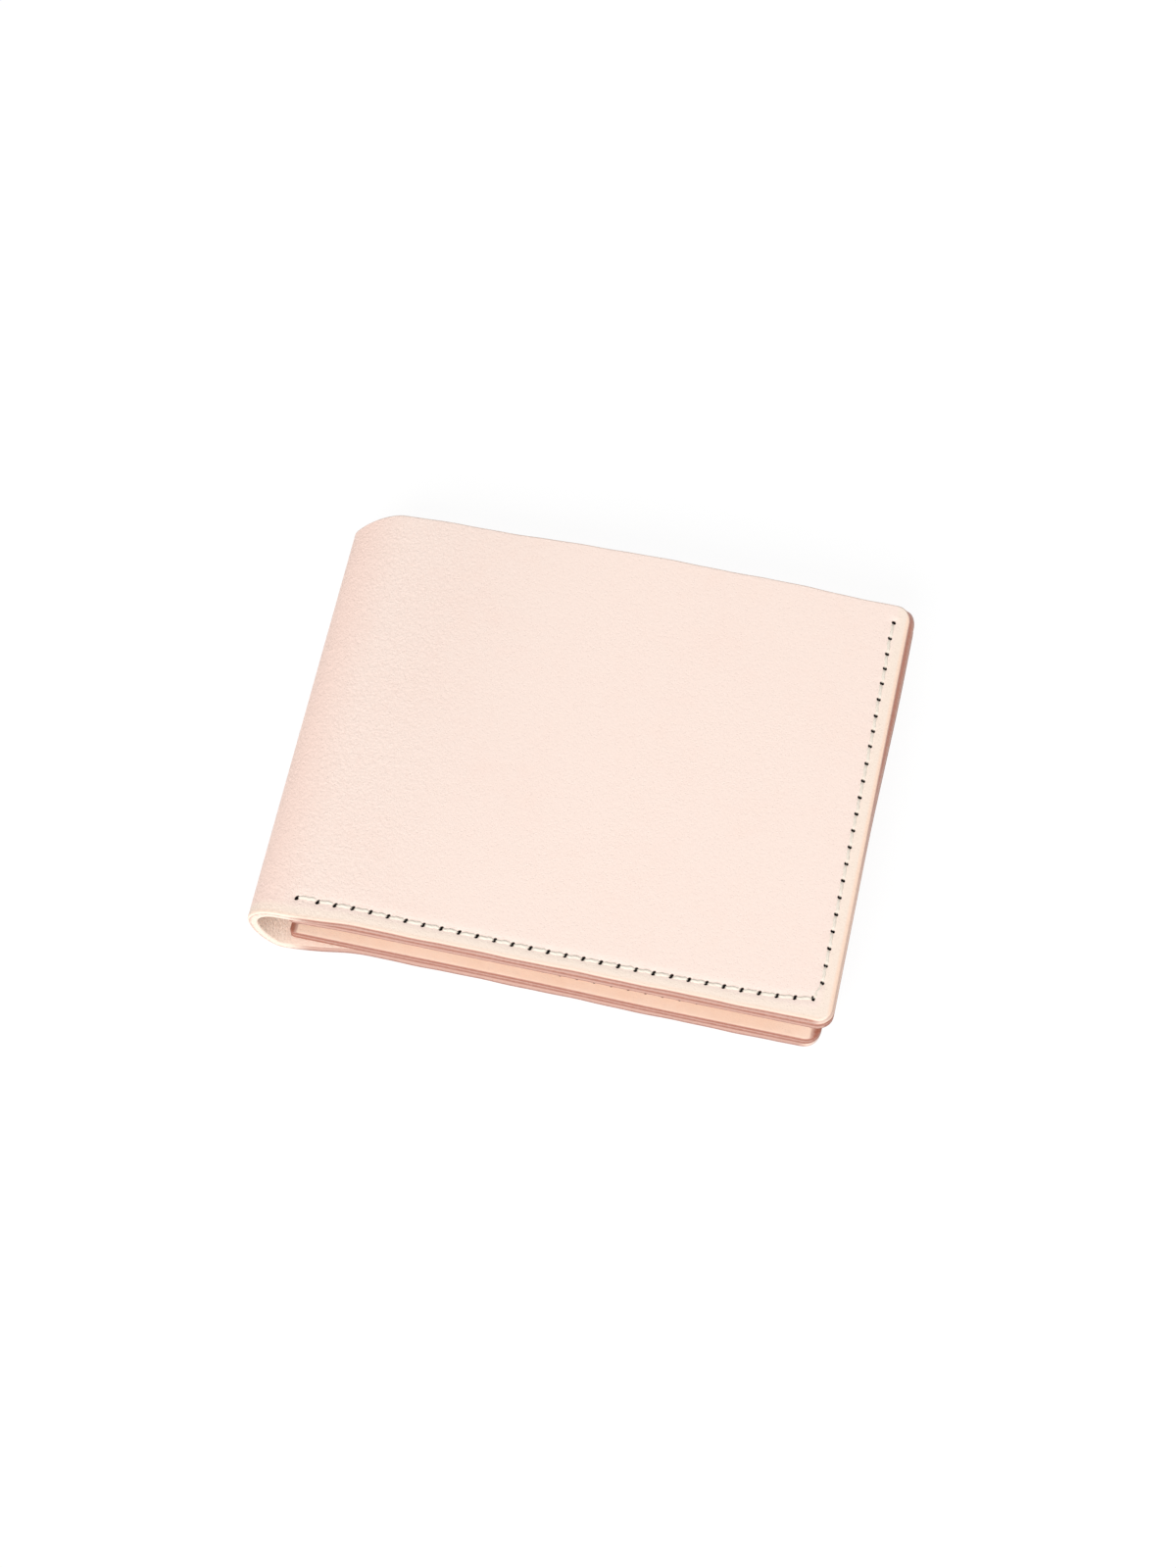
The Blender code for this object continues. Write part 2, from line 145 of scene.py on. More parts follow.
class Leaf:
    """One half of the wallet, in millimetres.

    u runs from the outside of the fold to the free edge, h from the near edge to the note mouth,
    and d from the outer face of the cover inwards. sink is how far the leaf slopes down beside the
    fold, at the near edge and at the mouth, and flare how far its near edge stands out there.
    overhang is how far the near edges of the cover and of the inner layers stand out, draft how far
    the free edge leans out, near and far, and trim how much it is cut short.
    """

    def __init__(self, name, width, sink, flare, overhang, draft, trim):
        self.name = name
        self.body = name + "_half"
        self.width = width
        self.sink = sink
        self.flare = flare
        self.overhang = overhang
        self.draft = draft
        self.trim = trim

    def sunk(self, u, h):
        """How far this leaf slopes down beside the fold, from the near edge to the mouth."""
        near, far = self.sink
        high = np.clip(np.asarray(h) / HEIGHT, 0, 1) ** SLOPE_POWER
        near_part = near * (1 - ease(u, *SLOPE_AT_NEAR_EDGE)) * (1 - high)
        return near_part + far * (1 - ease(u, *SLOPE_AT_MOUTH)) * high

    def stands_out(self, u, h, inner=1):
        """How far the sanded free edge stands out. It leans: inner is 0 at its outer face, 1 inside."""
        near, far = self.draft
        lean = near + (far - near) * ease(h, *LEAN_GROWS)
        return (lean * inner - self.trim) * ease(u, self.width - LEAN_WIDTH, self.width)

    def place(self, u, h, d):
        """Spots of this leaf as points of the closed wallet, in metres."""
        z = d if self.name == "back" else THICKNESS - d
        return np.stack([u - FRONT_WIDTH / 2, h - HEIGHT / 2, z], axis=-1) * MM

    def lay(self, u, h, d):
        """An inner layer: it follows the leaf's slope, and its edges stand out a little."""
        spread = 1 + PANEL_SPREAD * ease(u, *SPREAD_GROWS)
        out = self.overhang[1] * spread * (1 - ease(h, 0, PANEL_SPREAD_RUN))
        return self.place(u + self.stands_out(u, h), h - out, d + self.sunk(u, h))

    def fold(self, s, h, d):
        """The cover: s is the distance along its outer face from the middle of the fold."""
        turn = np.clip(s / FOLD_RADIUS, 0, math.pi / 2)
        flat = np.maximum(s - FOLD_ARC, 0)
        along = s - FOLD_ARC + FOLD_RADIUS
        u = FOLD_RADIUS - (FOLD_RADIUS - d) * np.cos(turn) + flat
        depth = FOLD_RADIUS - (FOLD_RADIUS - d) * np.sin(turn)
        off_fold = ease(s, 0, FOLD_ARC)
        flare = FLARE_AT_FOLD + (self.flare - FLARE_AT_FOLD) * off_fold
        spread = 1 + COVER_SPREAD * ease(along, *SPREAD_GROWS)
        out = flare * (1 - ease(along, *FLARE_ENDS)) + self.overhang[0] * off_fold * spread
        wander = sum(size * np.sin(along * pace + start) for size, pace, start in KNIFE_WAVES)
        swell = MOUTH_SWELL * ease(along, *MOUTH_SWELL_STARTS) * (1 - ease(along, *MOUTH_SWELL_ENDS))
        mouth = swell - MOUTH_DIP * (1 - ease(along, *MOUTH_DIP_ENDS))
        near = 1 - ease(h, 0, FLARE_RUN)
        far = ease(h, HEIGHT - FLARE_RUN, HEIGHT)
        hand_cut = h - out * near + mouth * far + wander * off_fold * (near + far)
        inner = ease(d, GRAIN_SKIN, COVER_LEATHER)
        at_corner = ease(along, self.width - CORNER, self.width) * ease(h, HEIGHT - CORNER, HEIGHT)
        hand_cut += self.draft[1] * at_corner * inner
        slant = self.stands_out(along, h, inner)
        return self.place(u + slant, hand_cut, depth + self.sunk(along, h) * off_fold)

    def edge_holes(self):
        """The holes of the near edge and then of the free edge, as (u, h)."""
        side_u = self.width - SEAM_INSET
        near_end = side_u - NEAR_END_GAP
        u = np.linspace(NEAR_START, near_end, NEAR_HOLES)
        lift = CORNER_LIFT * np.clip(1 - (near_end - u) / CORNER_LIFT_RUN, 0, 1) ** 2
        lift += np.interp(u, *NEAR_ROW_LIFT)
        u += np.interp(u, *NEAR_ROW_SHIFT)
        near = np.stack([u, SEAM_INSET + lift], axis=1)
        h = SIDE_START + SIDE_PITCH * np.arange(SIDE_HOLES)
        strays = np.interp(h, *SIDE_ROW_STRAY)
        shifts = np.interp(h, *SIDE_ROW_SHIFT)
        return np.concatenate([near, np.stack([side_u + strays, h + shifts], axis=1)])


back = Leaf(
    "back",
    BACK_WIDTH,
    sink=(0.0, 0.0),
    flare=1.7,
    overhang=(0.45, 0.4),
    draft=(0.1, 0.1),
    trim=0.0,
)
front = Leaf(
    "front",
    FRONT_WIDTH,
    sink=(0.9, 2.3),
    flare=0.5,
    overhang=(0.0, 0.0),
    draft=(0.45, 1.05),
    trim=0.24,
)
leaves = (back, front)

TINY = 1e-6
ROUND_OVER = np.radians([30, 60, 90])


def rounded(spots, corner):
    """Pulls the grid round one corner of a sheet into quarter circles about one centre."""
    u, h, way_u, way_h, radius = corner
    p = np.clip((spots[:, 0] - u) * way_u / radius + 1, 0, 1)
    q = np.clip((spots[:, 1] - h) * way_h / radius + 1, 0, 1)
    inside = (p > 0) & (q > 0)
    reach = np.maximum(np.maximum(p, q), TINY)
    turn = math.pi / 4 * np.where(p >= q, q / reach, 2 - p / reach)
    round_p = reach * np.cos(turn)
    round_q = reach * np.sin(turn)
    moved = np.stack([u + (round_p - 1) * radius * way_u, h + (round_q - 1) * radius * way_h], axis=1)
    return np.where(inside[:, None], moved, spots)


def cut_sheet(us, hs, thickness, edge, rubbed, corners=(), keep=None, joined=()):
    """A flat sheet over the cells of a grid, its cut edges rounded over by the radius edge.

    It gives the points as (u, h, depth in the leather), the faces, and how dark each point is rubbed,
    with painted shade in some rings: rubbed has one value for each of the seven rings of the edge,
    from the outer face to the inner.
    The sides at the lines joined are left square, to meet another sheet.
    """
    cells = [(i, j) for i in range(len(us) - 1) for j in range(len(hs) - 1)]
    if keep:
        cells = [(i, j) for i, j in cells if keep((us[i] + us[i + 1]) / 2, (hs[j] + hs[j + 1]) / 2)]
    rings = [[(i, j), (i + 1, j), (i + 1, j + 1), (i, j + 1)] for i, j in cells]
    sides = {(ring[k], ring[(k + 1) % 4]) for ring in rings for k in range(4)}
    following = {a: b for a, b in sides if (b, a) not in sides}
    border = [min(following)]
    while following[border[-1]] != border[0]:
        border.append(following[border[-1]])
    knots = sorted({knot for ring in rings for knot in ring})
    index = {knot: number for number, knot in enumerate(knots)}
    spots = np.array([(us[i], hs[j]) for i, j in knots], float)
    for corner in corners:
        spots = rounded(spots, corner)

    rim = np.array([index[knot] for knot in border])
    line = spots[rim]
    step = np.roll(line, -1, axis=0) - line
    inward = np.stack([-step[:, 1], step[:, 0]], axis=1) / np.linalg.norm(step, axis=1)[:, None]
    for seam in joined:
        inward[(line[:, 0] == seam) & (np.roll(line, -1, axis=0)[:, 0] == seam)] = 0
    before = np.roll(inward, 1, axis=0)
    inset = (inward + before) / np.maximum(1 + (inward * before).sum(axis=1), TINY)[:, None]
    on_edge = np.linalg.norm(inset, axis=1) > 0

    outer_round = [(edge * (1 - math.sin(a)), edge * (1 - math.cos(a))) for a in ROUND_OVER]
    inner_round = [(inset_by, thickness - down) for inset_by, down in outer_round[::-1]]
    levels = [*outer_round, (0, thickness / 2), *inner_round]
    faces_in = spots.copy()
    faces_in[rim] += inset * edge
    points = [np.column_stack([faces_in, np.zeros(len(spots))])]
    points.append(np.column_stack([faces_in, np.full(len(spots), thickness)]))
    for inset_by, down in levels:
        points.append(np.column_stack([line + inset * inset_by, np.full(len(rim), down)]))
    burnish = np.zeros(2 * len(spots) + len(levels) * len(rim))
    burnish[2 * len(spots):] = np.outer(rubbed, on_edge).ravel()

    faces = [[index[knot] for knot in ring] for ring in rings]
    faces += [[len(spots) + number for number in reversed(face)] for face in faces]
    loops = [rim] + [2 * len(spots) + k * len(rim) + np.arange(len(rim)) for k in range(len(levels))]
    loops.append(rim + len(spots))
    for upper, lower in zip(loops, loops[1:]):
        faces += np.stack([np.roll(upper, -1), upper, lower, np.roll(lower, -1)], axis=1).tolist()
    return np.concatenate(points), faces, burnish


def new_mesh(name, points, faces):
    mesh = bpy.data.meshes.new(name)
    mesh.from_pydata(np.asarray(points).tolist(), [], faces)
    return mesh


def along_seam(holes):
    """The unit vectors along and across a row of holes, at each of them."""
    step = np.gradient(holes, axis=0)
    along = step / np.linalg.norm(step, axis=1)[:, None]
    return along, np.stack([-along[:, 1], along[:, 0]], axis=1)


# The awl leaves slanted slits, flared at both faces, and longer along the near edge than up the side.
SLIT_LENGTH = 1.05
SIDE_SLIT_LENGTH = 0.84
SLIT_WIDTH = 0.7
SLIT_SLANT = math.radians(58)
ALONG_NEAR_EDGE = 0.5
AWL_SIDES = 10
AWL_PAST_FACE = 0.3
AWL_FLARE = 1.5
AWL_WAIST_DEPTH = 0.25
AWL_WAIST = 0.95
AWL_REACH = 0.62
AWL_FADE = 0.2


def punch(sheet, holes, thickness):
    """Cuts slanted awl holes through a flat sheet. The rubbing and painted shade of its edges are kept."""
    points, faces, burnish = sheet
    mesh = new_mesh("uncut", points * MM, faces)
    mesh.attributes.new("burnish", "FLOAT", "POINT").data.foreach_set("value", burnish.astype(np.float32))
    leather = bpy.data.objects.new("uncut", mesh)
    along, across = along_seam(holes)
    slit = along * math.cos(SLIT_SLANT) + across * math.sin(SLIT_SLANT)
    side = np.stack([-slit[:, 1], slit[:, 0]], axis=1)
    angles = np.linspace(0, 2 * math.pi, AWL_SIDES, endpoint=False)
    profile = (
        (-AWL_PAST_FACE, AWL_FLARE),
        (AWL_WAIST_DEPTH, AWL_WAIST),
        (thickness - AWL_WAIST_DEPTH, AWL_WAIST),
        (thickness + AWL_PAST_FACE, AWL_FLARE),
    )
    awl = bmesh.new()
    for at, way, long_way, short_way in zip(holes, along, slit, side):
        length = SLIT_LENGTH if abs(way[0]) > ALONG_NEAR_EDGE else SIDE_SLIT_LENGTH
        rings = []
        for depth, wide in profile:
            oval = np.outer(np.cos(angles) * length / 2 * wide, long_way)
            oval += np.outer(np.sin(angles) * SLIT_WIDTH / 2 * wide, short_way)
            rings.append([awl.verts.new(Vector((*(at + spot), depth)) * MM) for spot in oval])
        awl.faces.new(rings[0])
        awl.faces.new(rings[-1][::-1])
        for upper, lower in zip(rings, rings[1:]):
            for k in range(AWL_SIDES):
                awl.faces.new([upper[k], lower[k], lower[k - 1], upper[k - 1]])
    bmesh.ops.recalc_face_normals(awl, faces=awl.faces[:])
    awl_mesh = bpy.data.meshes.new("awl")
    awl.to_mesh(awl_mesh)
    awl.free()
    awl_object = bpy.data.objects.new("awl", awl_mesh)
    for item in (leather, awl_object):
        bpy.context.scene.collection.objects.link(item)
    boolean = leather.modifiers.new("awl", "BOOLEAN")
    boolean.object = awl_object
    boolean.solver = "EXACT"
    graph = bpy.context.evaluated_depsgraph_get()
    cut = bpy.data.meshes.new_from_object(leather.evaluated_get(graph))
    spots = np.empty(len(cut.vertices) * 3)
    cut.vertices.foreach_get("co", spots)
    spots = spots.reshape(-1, 3) / MM
    kept = np.zeros(len(spots), np.float32)
    cut.attributes["burnish"].data.foreach_get("value", kept)
    cut_faces = [list(face.vertices) for face in cut.polygons]
    for item in (leather, awl_object):
        bpy.data.objects.remove(item, do_unlink=True)
    for used in (mesh, awl_mesh, cut):
        bpy.data.meshes.remove(used)
    return spots, cut_faces, kept


def awl_walls(spots, holes, thickness):
    """How far each point is inside an awl hole, where its walls are painted near-black: painted shade."""
    nearest = np.linalg.norm(spots[:, None, :2] - holes[None], axis=2).min(axis=1)
    deep = np.minimum(spots[:, 2], thickness - spots[:, 2])
    return (nearest < AWL_REACH) * ease(deep, 0.0, AWL_FADE)


def new_piece(name, points, faces, marks, finish, sharp=50):
    """A mesh object in metres, with its marks for the finish. Edges over sharp degrees stay sharp."""
    mesh = new_mesh(name, points, faces)
    for mark, values in marks.items():
        kind = "FLOAT_VECTOR" if np.ndim(values) == 2 else "FLOAT"
        data = mesh.attributes.new(mark, kind, "POINT").data
        data.foreach_set("vector" if np.ndim(values) == 2 else "value", np.ravel(values).astype(np.float32))
    shape = bmesh.new()
    shape.from_mesh(mesh)
    bmesh.ops.recalc_face_normals(shape, faces=shape.faces[:])
    shape.to_mesh(mesh)
    shape.free()
    mesh.polygons.foreach_set("use_smooth", [True] * len(mesh.polygons))
    mesh.set_sharp_from_angle(angle=math.radians(sharp))
    mesh.materials.append(finish.owner)
    piece = bpy.data.objects.new(name, mesh)
    bpy.context.scene.collection.objects.link(piece)
    return piece


class Wire:
    """A socket of a finish. Sums and products of wires and numbers become its Math nodes."""

    def __init__(self, finish, socket):
        self.finish = finish
        self.socket = socket

    def sum_of(self, operation, first, second):
        return self.finish.node("ShaderNodeMath", {"operation": operation}, {0: first, 1: second})

    def __add__(self, other):
        return self.sum_of("ADD", self, other)

    def __radd__(self, other):
        return self.sum_of("ADD", other, self)

    def __sub__(self, other):
        return self.sum_of("SUBTRACT", self, other)

    def __rsub__(self, other):
        return self.sum_of("SUBTRACT", other, self)

    def __mul__(self, other):
        return self.sum_of("MULTIPLY", self, other)

    def __rmul__(self, other):
        return self.sum_of("MULTIPLY", other, self)


class Finish:
    """A material or a world under construction."""

    def __init__(self, owner, **constants):
        owner.use_nodes = True
        self.owner = owner
        self.tree = owner.node_tree
        for socket, value in constants.items():
            self.tree.nodes["Principled BSDF"].inputs[socket.replace("_", " ")].default_value = value

    def node(self, kind, settings, inputs, output=0):
        """Adds a node of a kind: its settings first, then its values or links. Gives one output."""
        added = self.tree.nodes.new(kind)
        for setting, value in settings.items():
            setattr(added, setting, value)
        for socket, value in inputs.items():
            self.feed(added.inputs[socket], value)
        return Wire(self, added.outputs[output])

    def feed(self, socket, value):
        if isinstance(value, Wire):
            self.tree.links.new(value.socket, socket)
        else:
            socket.default_value = value

    def mark(self, name, output="Fac"):
        return self.node("ShaderNodeAttribute", {"attribute_name": name}, {}, output)

    def noise(self, spot, scale, detail, rough, warp=0.0):
        inputs = {"Vector": spot, "Scale": scale, "Detail": detail, "Roughness": rough, "Distortion": warp}
        return self.node("ShaderNodeTexNoise", {}, inputs)

    def pores(self, spot, scale):
        return self.node("ShaderNodeTexVoronoi", {}, {"Vector": spot, "Scale": scale, "Randomness": 1.0})

    def stretch(self, spot, scale):
        return self.node("ShaderNodeVectorMath", {"operation": "MULTIPLY"}, {0: spot, 1: scale})

    def ramp(self, value, low, high):
        inputs = {"Value": value, "From Min": low, "From Max": high}
        return self.node("ShaderNodeMapRange", {"interpolation_type": "SMOOTHSTEP"}, inputs)

    def tint(self, share, first, second):
        inputs = {0: share, 6: first, 7: second}
        return self.node("ShaderNodeMix", {"data_type": "RGBA"}, inputs, 2)

    def part_of(self, spot, axis):
        return self.node("ShaderNodeSeparateXYZ", {}, {0: spot}, axis)

    def streaked(self, spot, burnish):
        """The rubbing of a cut edge, broken up into streaks through the thickness of the leather."""
        streaks = self.noise(self.stretch(spot, (1.6, 1.6, 0.35)), scale=1.1, detail=4.0, rough=0.6)
        return burnish + (streaks - 0.5) * burnish * 0.5

    def finish(self, colour, roughness, height, depth):
        """Links the colour, the roughness and a bump whose full height is depth, in metres."""
        bump = self.node("ShaderNodeBump", {}, {"Strength": 1.0, "Distance": depth, "Height": height})
        shader = self.tree.nodes["Principled BSDF"]
        self.feed(shader.inputs["Base Color"], colour)
        self.feed(shader.inputs["Roughness"], roughness)
        self.feed(shader.inputs["Normal"], bump)


LEATHER_GLOSS = {"Specular_IOR_Level": 0.35, "Sheen_Weight": 0.06, "Sheen_Roughness": 0.5}
PALE_HIDE = (0.97, 0.80, 0.715, 1)
PINK_HIDE = (0.97, 0.78, 0.692, 1)
BLUSH_HIDE = (0.945, 0.705, 0.615, 1)
CREAM_HIDE = (0.925, 0.81, 0.67, 1)
FLESH_SIDE = (0.99, 0.815, 0.69, 1)
BEVEL = (0.98, 0.70, 0.54, 1)
RAW_EDGE = (0.90, 0.745, 0.63, 1)
PINK_EDGE = (0.57, 0.35, 0.285, 1)
BURNISHED_AND_SHADE = (0.35, 0.125, 0.08, 1)
WARM_EDGE_PAINTED_LIGHT = (0.47, 0.17, 0.105, 1)
# Near-black for the walls of the awl holes: painted shade.
HOLE_SHADE_PAINT = (0.012, 0.008, 0.006, 1)

# Where a look of the cover changes, in millimetres from the middle of the fold, from the near edge
# or, for the flesh side, into the leather.
FOLD_WORN = (6.0, 48.0)
FOLD_BLUSH_AND_SHADE = (5.0, 16.0)
FOLD_EDGE_RAW = (11.0, 17.0)
SIDE_EDGE_PAINTED_LIGHT = (110.0, 114.0)
SIDE_MARGIN_HIGHLIGHT = (112.0, 114.4)
SIDE_BEVEL = (114.8, 115.6)
NEAR_MARGIN = (1.2, 3.4)
NEAR_BEVEL = (0.3, 1.2)
FLESH_STARTS = (COVER_LEATHER - 0.5, COVER_LEATHER - 0.1)
HIDE_BUMP = 0.12 * MM

hide = Finish(bpy.data.materials.new("natural_hide"), **LEATHER_GLOSS)
spot = hide.mark("cut", "Vector")
from_fold = hide.node("ShaderNodeMath", {"operation": "ABSOLUTE"}, {0: hide.part_of(spot, "X")})
from_near = hide.part_of(spot, "Y")
clouds = hide.noise(spot, scale=0.045, detail=4.0, rough=0.55)
blotches = hide.noise(spot, scale=0.28, detail=5.0, rough=0.6)
pores = hide.pores(spot, scale=2.4)
grain = hide.noise(spot, scale=4.2, detail=4.0, rough=0.62)
pebble_cells = {"Vector": spot, "Scale": 1.8, "Smoothness": 0.5}
pebbles = hide.node("ShaderNodeTexVoronoi", {"feature": "SMOOTH_F1"}, pebble_cells)
creases = hide.noise(hide.stretch(spot, (1.0, 0.4, 1.0)), scale=1.4, detail=5.0, rough=0.62, warp=0.8)
near_fold = 1 - hide.ramp(from_fold, *FOLD_WORN)
flesh = hide.ramp(hide.part_of(spot, "Z"), *FLESH_STARTS)
# The darkness of the cut edges: rubbing, and painted shade in some rings.
burnish = hide.mark("burnish")
rubbed = hide.streaked(spot, burnish)

# The grain side: pale, pinker where it is handled, in its creases and between its pebbles, and
# darker round the turn of the fold, partly painted shade there.
tone = hide.tint(hide.ramp(clouds * 0.6 + blotches * 0.4, 0.45, 0.75), PALE_HIDE, PINK_HIDE)
tone = hide.tint(near_fold * hide.ramp(clouds, 0.25, 0.8) * 0.15, tone, BLUSH_HIDE)
# Round the turn of the fold the tint is partly handling and partly painted shade.
tone = hide.tint(0.85 * (1 - hide.ramp(from_fold, *FOLD_BLUSH_AND_SHADE)), tone, BLUSH_HIDE)
tone = hide.tint((0.06 + near_fold * 0.18) * hide.ramp(creases, 0.54, 0.68), tone, BLUSH_HIDE)
tone = hide.tint((0.08 + near_fold * 0.08) * hide.ramp(pebbles, 0.3, 0.6), tone, BLUSH_HIDE)
tone = hide.tint(hide.ramp(pores, 0.34, 0.02) * 0.10, tone, BLUSH_HIDE)

# Outside the seam it is creamier; along the free edge that cream is partly a painted highlight.
# It is orange where the edge was bevelled. The flesh side is paler.
cream_margin_and_highlight = 1 - hide.ramp(from_near, *NEAR_MARGIN) + hide.ramp(from_fold, *SIDE_MARGIN_HIGHLIGHT)
tone = hide.tint(hide.ramp(cream_margin_and_highlight, 0.0, 1.0) * 0.5, tone, CREAM_HIDE)
bevel = hide.ramp(from_fold, *SIDE_BEVEL) * 0.8 + (1 - hide.ramp(from_near, *NEAR_BEVEL)) * 0.45
tone = hide.tint(bevel, tone, BEVEL)
tone = hide.tint(flesh, tone, FLESH_SIDE)

# The cut edge is burnished dark, its darkest rings partly painted shade. At the free edge, which
# faces away from the main light, it is painted lighter and warmer: painted light. Round the fold it
# is almost raw.
dark_edge_shade_and_light = hide.tint(hide.ramp(from_fold, *SIDE_EDGE_PAINTED_LIGHT), BURNISHED_AND_SHADE, WARM_EDGE_PAINTED_LIGHT)
edge_tone = hide.tint(hide.ramp(rubbed, 0.5, 1.0), PINK_EDGE, dark_edge_shade_and_light)
raw_tone = hide.tint(hide.ramp(rubbed, 0.75, 1.0) * 0.7, RAW_EDGE, PINK_EDGE)
edge_tone = hide.tint(hide.ramp(from_fold, *FOLD_EDGE_RAW), raw_tone, edge_tone)
tone = hide.tint(hide.ramp(burnish, 0.0, 0.5), tone, edge_tone)
# The walls of the awl holes are painted near-black: painted shade.
tone = hide.tint(hide.mark("awl"), tone, HOLE_SHADE_PAINT)
surface = grain * 0.3 + hide.ramp(pores, 0.0, 0.4) * 0.3
surface = surface + creases * (0.2 + near_fold * 1.2) - pebbles * (0.2 + near_fold * 0.3)
roughness = 0.6 - burnish * 0.22 + flesh * 0.25 + (blotches - 0.5) * 0.16
hide.finish(tone, roughness, surface, HIDE_BUMP)

# How dark the cut edge is, ring by ring and along the edge, and how deep the thread has pressed
# the seam into the grain side. The darkness is rubbing and painted shade: the upper round-over is
# painted darker to take out its highlight, and the darkest ring partly paints the shadow line
# under the edge. SIDE_EDGE is counted inwards from the free edge.
COVER_RUBBED_AND_SHADED = (0.15, 0.45, 1.0, 0.75, 0.5, 0.5, 0.5)
MOUTH_UNRUBBED = 0.75
MOUTH_EDGE = (HEIGHT - 2, HEIGHT - 1)
SIDE_EDGE = (3.8, 2.0)
SIDE_DARKENS = (22, 64)
SIDE_NEAR_LOSS = 0.68
SIDE_FAR_GAIN = 0.85
GROOVE_DEPTH = 0.14
GROOVE_WIDTH = 0.65
GROOVE_LEAD = 0.8
GROOVE_END = 0.5
DIMPLE_DEPTH = 0.1
DIMPLE_WIDTH = 0.8
NO_GROOVE = 9

# The grid of the flat cover is finest at its corners and along its seams.
CORNER_CELLS = 7
CELLS_PER_STITCH = 4
BEND_CELLS = 16
ROWS_INSIDE_SEAM = (3.9, 4.7, 5.6, 6.6)
ROW_GAP = 0.5
LINE_LEAD = 2.1
LINE_GAP = 1.0
SIDE_LINE = 0.6
SEAM_STEP = 0.1
near_pitch = (FRONT_WIDTH - SEAM_INSET - NEAR_END_GAP - NEAR_START) / (NEAR_HOLES - 1)
border_steps = np.arange(1, CORNER_CELLS + 1) * CORNER / CORNER_CELLS
side_rows = np.arange(SIDE_START, HEIGHT - CORNER - ROW_GAP, SIDE_PITCH / CELLS_PER_STITCH)
far_rows = [HEIGHT - CORNER, *(HEIGHT - CORNER + border_steps)]
cover_rows = [0, *border_steps, *ROWS_INSIDE_SEAM, *side_rows, *far_rows]

# For each piece of the cover, the two ends of its hinge are found, a short reach to both sides of
# it; nothing here uses them. At the middle hinge the upper end has sunk by a share of the front
# leaf's slope.
BEND_REACH = 2.4
BEND_TURN = math.pi / 6
STRIP_SUNK = 0.26


def mouth_wear(h):
    """The cut edge along the note mouth is hardly rubbed."""
    return 1 - MOUTH_UNRUBBED * ease(h, *MOUTH_EDGE)


for leaf in leaves:
    reach = leaf.width - FOLD_RADIUS + FOLD_ARC
    flat_holes = leaf.edge_holes() + [FOLD_ARC - FOLD_RADIUS, 0]
    near_row = flat_holes[:NEAR_HOLES]
    side_row = flat_holes[NEAR_HOLES:]
    bend_lines = [STRIP, STRIP + SEAM_STEP, *np.linspace(STRIP, FOLD_ARC, BEND_CELLS + 1)[1:]]
    last_line = reach - CORNER - LINE_GAP
    row_lines = np.arange(near_row[0, 0] - LINE_LEAD, last_line, near_pitch / CELLS_PER_STITCH)
    side_lines = [reach - CORNER - SIDE_LINE, reach - CORNER, *(reach - CORNER + border_steps)]
    corners = [(reach, 0, 1, -1, CORNER), (reach, HEIGHT, 1, 1, CORNER)]
    us = [*bend_lines, *row_lines, *side_lines]
    sheet = cut_sheet(us, cover_rows, COVER_LEATHER, COVER_EDGE, COVER_RUBBED_AND_SHADED, corners, joined=[STRIP])
    spots, faces, burnish_and_shade_mark = punch(sheet, flat_holes, COVER_LEATHER)
    s, h, d = spots.T
    to_hole = np.linalg.norm(spots[:, None, :2] - flat_holes[None], axis=2).min(axis=1)
    by_near_row = (s > near_row[0, 0] - GROOVE_LEAD) & (s < near_row[-1, 0] + GROOVE_END)
    off_near_row = np.where(by_near_row, h - np.interp(s, near_row[:, 0], near_row[:, 1]), NO_GROOVE)
    by_side_row = (h > SIDE_START - GROOVE_LEAD) & (h < side_row[-1, 1] + GROOVE_LEAD)
    off_side_row = np.where(by_side_row, s - np.interp(h, side_row[:, 1], side_row[:, 0]), NO_GROOVE)
    off_seam = np.minimum(np.abs(off_near_row), np.abs(off_side_row))
    groove = GROOVE_DEPTH * np.exp(-((off_seam / GROOVE_WIDTH) ** 2))
    pressed = groove + DIMPLE_DEPTH * np.exp(-((to_hole / DIMPLE_WIDTH) ** 2))
    points = leaf.fold(s, h, d + pressed * (1 - d / COVER_LEATHER))
    at_side = ease(s, reach - SIDE_EDGE[0], reach - SIDE_EDGE[1])
    side_wear = SIDE_FAR_GAIN * ease(h, *SIDE_DARKENS) - SIDE_NEAR_LOSS
    burnish_and_shade_mark = burnish_and_shade_mark * (at_side + (1 - at_side) * mouth_wear(h))
    burnish_and_shade_mark = burnish_and_shade_mark * (1 + at_side * side_wear)
    way = 1 if leaf is front else -1
    marks = {
        "cut": np.stack([s * way, h, d], axis=1),
        "burnish": np.clip(burnish_and_shade_mark, 0, 1),
        "awl": awl_walls(spots, flat_holes, COVER_LEATHER),
    }
    cover = new_piece(f"{leaf.name}_cover_leather", points, faces, marks, hide)
    middle = FOLD_RADIUS - COVER_LEATHER / 2
    ends = np.array([-1, 1]) * BEND_REACH
    bend_u = FOLD_RADIUS - middle * math.sin(BEND_TURN) - ends * math.cos(BEND_TURN)
    bend_d = FOLD_RADIUS - middle * math.cos(BEND_TURN) + ends * math.sin(BEND_TURN)
    start, end = leaf.place(bend_u, np.full(2, HEIGHT / 2), bend_d)
    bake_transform(cover)
    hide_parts(f"cover_{leaf.name}")

